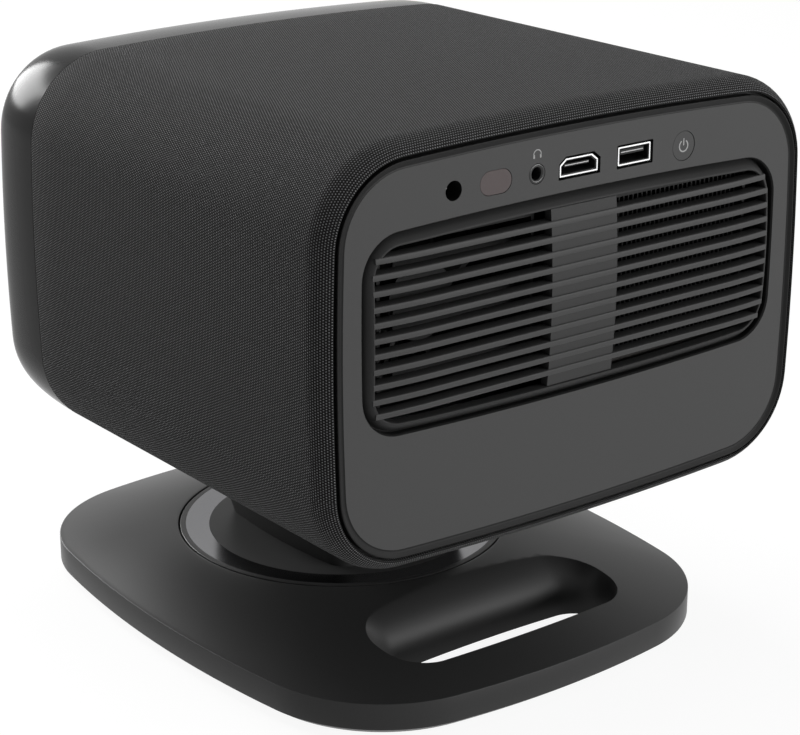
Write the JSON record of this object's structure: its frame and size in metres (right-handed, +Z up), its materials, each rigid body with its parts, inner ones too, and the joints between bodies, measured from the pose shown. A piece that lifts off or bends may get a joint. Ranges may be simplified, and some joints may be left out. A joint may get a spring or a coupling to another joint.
{
  "type": "portable projector",
  "caption": "Box-shaped projector in a fabric sleeve that tilts on a neck above a turning base plate with a carrying slot.",
  "frame": {"origin": "on the turntable's axis, at the surface the feet stand on", "axes": "+Z up, -Y the way the lens looks, +Y the side with the sockets and the grille; the tilt hinge runs along X"},
  "size_m": [0.1916, 0.2164, 0.1928],
  "materials": {
    "base_body": "dark grey semi-gloss moulding",
    "cover": "fine matt texture",
    "foot": "matt rubber",
    "steel": "zinc plated steel",
    "ballast": "bare plate",
    "bearing": "natural acetal",
    "bronze": "sintered bronze",
    "disc": "fine satin dark grey",
    "trim": "dark polished bevel",
    "neck": "satin dark grey die casting",
    "frame": "black moulding",
    "weave": "fine grey weave",
    "ring": "satin dark metallic",
    "front": "gloss black",
    "glass": "coated glass",
    "smoke": "dark infrared window",
    "engine": "die cast",
    "alloy": "bare aluminium",
    "copper": "bare copper",
    "board": "solder resist",
    "panel": "fine satin dark grey",
    "grille": "satin dark grey",
    "socket": "black insulator",
    "shell": "nickel plated sheet",
    "button": "satin dark grey with a white symbol"
  },
  "bodies": {
    "base": {"base_shell": "base_body", "base_cover": "cover", "base_screws": "steel", "foot_front_left": "foot", "foot_front_right": "foot", "foot_back_left": "foot", "foot_back_right": "foot", "base_weight": "ballast", "glide_ring": "bearing", "friction_washer": "bearing", "pivot_bush": "bronze"},
    "turntable": {"turntable_disc": "disc", "turntable_trim": "trim", "pivot_retainer": "steel", "hub_screws": "steel", "neck_screws": "steel", "hinge_pin": "steel", "neck": "neck", "hinge_cap": "neck", "hinge_washer_left": "bearing", "hinge_washer_right": "bearing"},
    "body": {"tilt_bracket": "neck", "bracket_screws": "steel", "body_frame": "frame", "fabric_sleeve": "weave", "front_ring": "ring", "front_panel": "front", "lens_window": "glass", "rear_lens": "glass", "sensor_window": "smoke", "ir_window": "smoke", "lens_barrel": "frame", "focus_motor": "steel", "light_engine": "engine", "engine_mount": "steel", "heat_spreader": "copper", "heat_pipes": "copper", "heat_sink": "alloy", "intake_duct": "frame", "fan_frame_left": "frame", "fan_frame_right": "frame", "speaker_left": "frame", "speaker_right": "frame", "rear_panel": "panel", "grille": "grille", "dc_jack": "socket", "headphone_jack": "socket", "ir_receiver": "socket", "power_switch": "socket", "hdmi_socket": "shell", "usb_socket": "shell", "port_board": "board", "main_board": "board"},
    "lens_focus": {"lens_carrier": "frame", "front_lens": "glass"},
    "focus_screw": {"focus_screw": "steel"},
    "power_button": {"power_button": "button"},
    "fan_rotor_left": {"fan_rotor_left": "frame"},
    "fan_rotor_right": {"fan_rotor_right": "frame"}
  },
  "joints": [
    {"name": "turntable_yaw", "type": "hinge", "parent": "base", "child": "turntable", "pos_m": [0, 0, 0], "axis": [0, 0, 1], "continuous": true},
    {"name": "body_tilt", "type": "hinge", "parent": "turntable", "child": "body", "pos_m": [0, 0, 0.0466], "axis": [-1, 0, 0], "range_deg": [-15, 18]},
    {"name": "lens_focus_slide", "type": "slide", "parent": "body", "child": "lens_focus", "axis": [0, -1, 0], "range_m": [0, 0.003]},
    {"name": "focus_screw_turn", "type": "hinge", "parent": "body", "child": "focus_screw", "pos_m": [0.0265, -0.03, 0.1347], "axis": [0, 1, 0], "range_deg": [0, 540]},
    {"name": "power_button_press", "type": "slide", "parent": "body", "child": "power_button", "axis": [0, -1, 0], "range_m": [0, 0.0006], "stiffness_N_per_m": 900},
    {"name": "fan_spin_left", "type": "hinge", "parent": "body", "child": "fan_rotor_left", "pos_m": [0.044, 0.0935, 0.1357], "axis": [0, 1, 0], "continuous": true},
    {"name": "fan_spin_right", "type": "hinge", "parent": "body", "child": "fan_rotor_right", "pos_m": [-0.044, 0.0935, 0.1357], "axis": [0, 1, 0], "continuous": true}
  ],
  "couplings": [
    {"joint": "focus_screw_turn", "follows": "lens_focus_slide", "rad_per_m": 3141.6}
  ]
}
